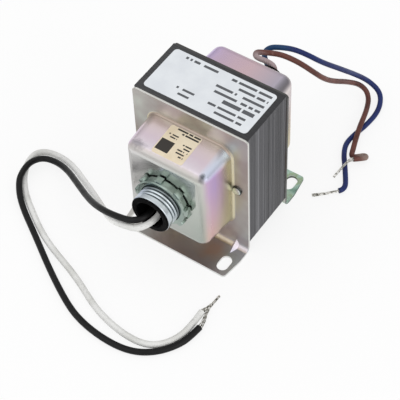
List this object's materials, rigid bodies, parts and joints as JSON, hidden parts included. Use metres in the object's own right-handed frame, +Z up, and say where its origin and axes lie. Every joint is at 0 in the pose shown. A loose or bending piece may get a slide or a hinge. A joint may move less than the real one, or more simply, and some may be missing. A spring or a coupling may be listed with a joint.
{
  "type": "control transformer",
  "caption": "Laminated-core control transformer with drawn steel end covers, slotted feet, a threaded conduit hub with a lugged locknut, and loose stripped leads front and back.",
  "frame": {"origin": "centre of the foot slot pattern, on the plane that the feet stand on", "axes": "+X the way the conduit hub points, +Y the right side seen from the front, +Z up"},
  "size_m": [0.2094, 0.1495, 0.0825],
  "materials": {
    "chromate_steel": "yellow chromate zinc plate with a rainbow sheen",
    "core_steel": "dark oxide sheet edges",
    "rivet_steel": "zinc plate",
    "bright_zinc": "bright zinc plate",
    "nut_zinc": "clear zinc plate",
    "black_plastic": "moulded nylon",
    "white_label": "satin label stock",
    "gold_label": "satin label stock",
    "former_plastic": "natural nylon",
    "copper": "enamelled copper wire",
    "tape": "polyester tape",
    "sleeve": "shrink sleeving",
    "black_insulation": "extruded insulation",
    "white_insulation": "extruded insulation",
    "blue_insulation": "extruded insulation",
    "brown_insulation": "extruded insulation",
    "tinned_copper": "tinned strands"
  },
  "bodies": {
    "root": {"front_cover": "chromate_steel", "rear_cover": "chromate_steel", "e_laminations": "core_steel", "i_laminations": "core_steel", "core_rivets": "rivet_steel", "hub_nipple": "bright_zinc", "hub_locknut": "nut_zinc", "hub_bushing": "black_plastic", "rear_bushing": "black_plastic", "rating_label": "white_label", "approval_label": "gold_label", "bobbin": "former_plastic", "primary_winding": "copper", "secondary_winding": "copper", "primary_tape": "tape", "secondary_tape": "tape", "primary_splices": "sleeve", "secondary_splices": "sleeve", "primary_tails": "copper", "secondary_tails": "copper", "black_lead": "black_insulation", "white_lead": "white_insulation", "blue_lead": "blue_insulation", "brown_lead": "brown_insulation", "black_strands": "tinned_copper", "white_strands": "tinned_copper", "blue_strands": "tinned_copper", "brown_strands": "tinned_copper"}
  },
  "joints": []
}
